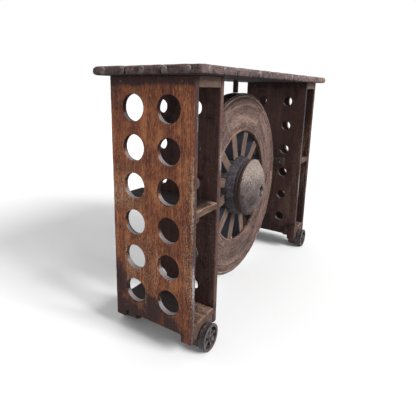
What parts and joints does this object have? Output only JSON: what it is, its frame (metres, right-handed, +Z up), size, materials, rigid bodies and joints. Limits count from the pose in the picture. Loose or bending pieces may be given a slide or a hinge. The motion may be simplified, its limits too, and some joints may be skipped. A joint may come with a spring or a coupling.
{
  "type": "bottle bar console table with cart wheel",
  "caption": "Long narrow bar table: a studded plank top on two pierced bottle cabinets, a spoked cart wheel held between them, and small iron floor wheels.",
  "frame": {"origin": "middle of the footprint, on the floor under the small wheels", "axes": "+X along the table's length, +Y towards the back, away from the cart wheel's domed hub, +Z up"},
  "size_m": [1.4356, 0.4556, 1.04],
  "materials": {
    "top_wood": "weathered, waxed",
    "stud_iron": "worn domes",
    "side_wood": "old oiled hardwood",
    "inner_wood": "dark stained",
    "head_wood": "bare, dusty",
    "shelf_wood": "worn pale on the edges",
    "nail_iron": "rusty",
    "beam_wood": "dark, oily",
    "axle_steel": "dull, rusty",
    "roller_iron": "blue-grey casting",
    "rim_wood": "dry, faded",
    "spoke_wood": "dry, faded",
    "tyre_iron": "hammered, dark",
    "hub_wood": "slate-coloured old paint",
    "cap_wood": "turned, cracked",
    "bracket_iron": "black",
    "hanger_wood": "dark reddish stain"
  },
  "bodies": {
    "frame": {"top_board_front": "top_wood", "top_board_middle": "top_wood", "top_board_back": "top_wood", "edge_studs": "stud_iron", "left_outer_panel": "side_wood", "right_outer_panel": "side_wood", "left_inner_panel": "inner_wood", "right_inner_panel": "inner_wood", "left_head_board": "head_wood", "right_head_board": "head_wood", "left_middle_shelf": "shelf_wood", "right_middle_shelf": "shelf_wood", "left_bottom_shelf": "shelf_wood", "right_bottom_shelf": "shelf_wood", "cabinet_nails": "nail_iron", "left_front_beam": "beam_wood", "left_rear_beam": "beam_wood", "right_front_beam": "beam_wood", "right_rear_beam": "beam_wood", "left_front_axle": "axle_steel", "left_rear_axle": "axle_steel", "right_front_axle": "axle_steel", "right_rear_axle": "axle_steel", "axle_nuts": "axle_steel", "felloe_1": "rim_wood", "felloe_2": "rim_wood", "felloe_3": "rim_wood", "felloe_4": "rim_wood", "felloe_5": "rim_wood", "felloe_6": "rim_wood", "spoke_1": "spoke_wood", "spoke_2": "spoke_wood", "spoke_3": "spoke_wood", "spoke_4": "spoke_wood", "spoke_5": "spoke_wood", "spoke_6": "spoke_wood", "spoke_7": "spoke_wood", "spoke_8": "spoke_wood", "spoke_9": "spoke_wood", "spoke_10": "spoke_wood", "spoke_11": "spoke_wood", "spoke_12": "spoke_wood", "iron_tyre": "tyre_iron", "hub_barrel": "hub_wood", "hub_band": "tyre_iron", "hub_front_cap": "cap_wood", "left_wheel_bracket": "bracket_iron", "right_wheel_bracket": "bracket_iron", "bracket_bolts": "bracket_iron", "wheel_hanger": "hanger_wood"},
    "left_front_wheel": {"left_front_roller": "roller_iron"},
    "left_rear_wheel": {"left_rear_roller": "roller_iron"},
    "right_front_wheel": {"right_front_roller": "roller_iron"},
    "right_rear_wheel": {"right_rear_roller": "roller_iron"}
  },
  "joints": [
    {"name": "left_front_wheel_spin", "type": "hinge", "parent": "frame", "child": "left_front_wheel", "pos_m": [-0.5825, -0.1975, 0.054], "axis": [0, 1, 0], "continuous": true},
    {"name": "left_rear_wheel_spin", "type": "hinge", "parent": "frame", "child": "left_rear_wheel", "pos_m": [-0.5825, 0.1975, 0.054], "axis": [0, 1, 0], "continuous": true},
    {"name": "right_front_wheel_spin", "type": "hinge", "parent": "frame", "child": "right_front_wheel", "pos_m": [0.5825, -0.1975, 0.054], "axis": [0, 1, 0], "continuous": true},
    {"name": "right_rear_wheel_spin", "type": "hinge", "parent": "frame", "child": "right_rear_wheel", "pos_m": [0.5825, 0.1975, 0.054], "axis": [0, 1, 0], "continuous": true}
  ]
}
